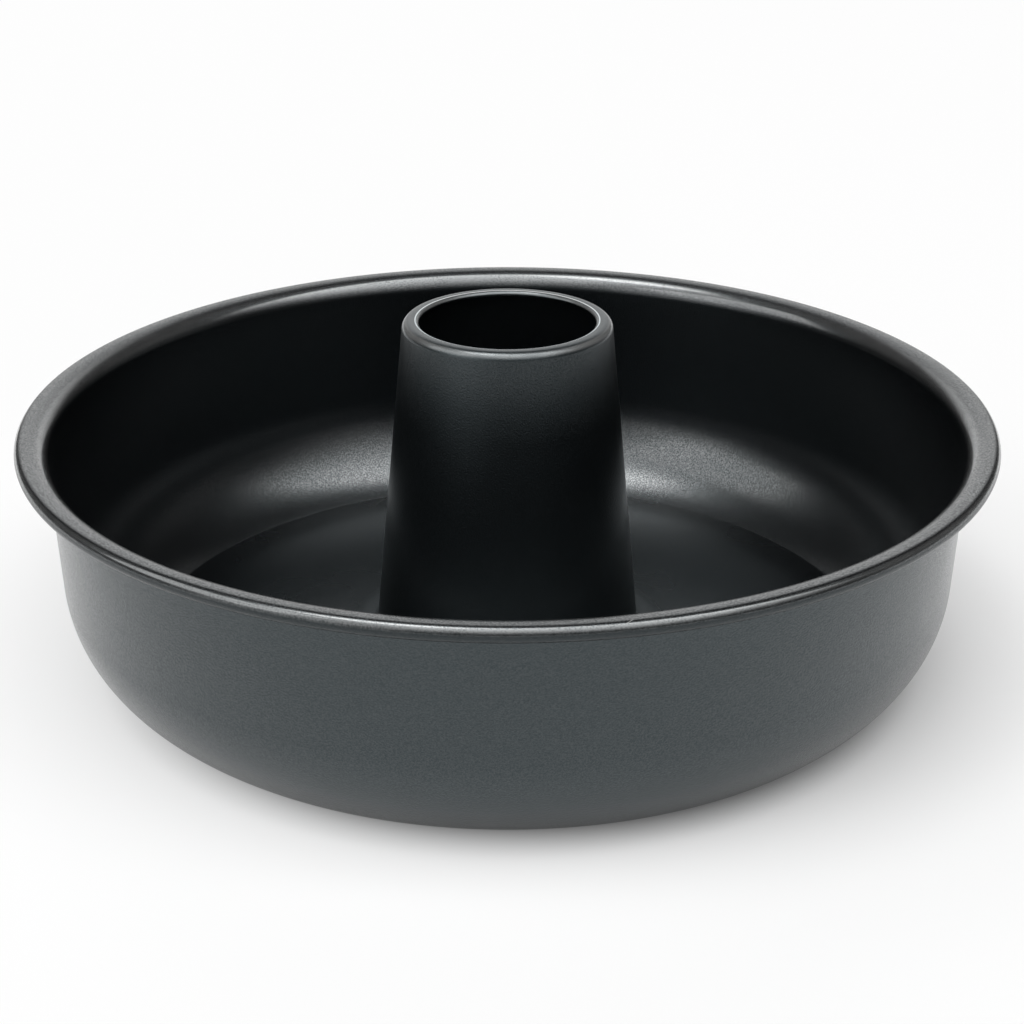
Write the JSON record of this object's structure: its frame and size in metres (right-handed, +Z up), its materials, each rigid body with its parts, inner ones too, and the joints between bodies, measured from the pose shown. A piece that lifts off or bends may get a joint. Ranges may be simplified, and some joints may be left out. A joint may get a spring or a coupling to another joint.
{
  "type": "angel food cake pan",
  "caption": "Round deep cake pan in dark coated steel with a rolled rim, a rounded lower corner and a loose base carrying a tall hollow centre tube.",
  "frame": {"origin": "middle of the flat face that the pan stands on", "axes": "+Z up along the pan's axis and out of its mouth; X and Y across the pan, which is round"},
  "size_m": [0.271, 0.271, 0.097],
  "materials": {
    "coated_steel": "semi-gloss non-stick coating",
    "bare_steel": "drawn wire"
  },
  "bodies": {
    "pan": {"pan_shell": "coated_steel", "rim_wire": "bare_steel"},
    "insert": {"base_plate": "coated_steel", "center_tube": "coated_steel"}
  },
  "joints": [
    {"name": "insert_lift", "type": "slide", "parent": "pan", "child": "insert", "axis": [0, 0, 1], "range_m": [0, 0.1]}
  ]
}
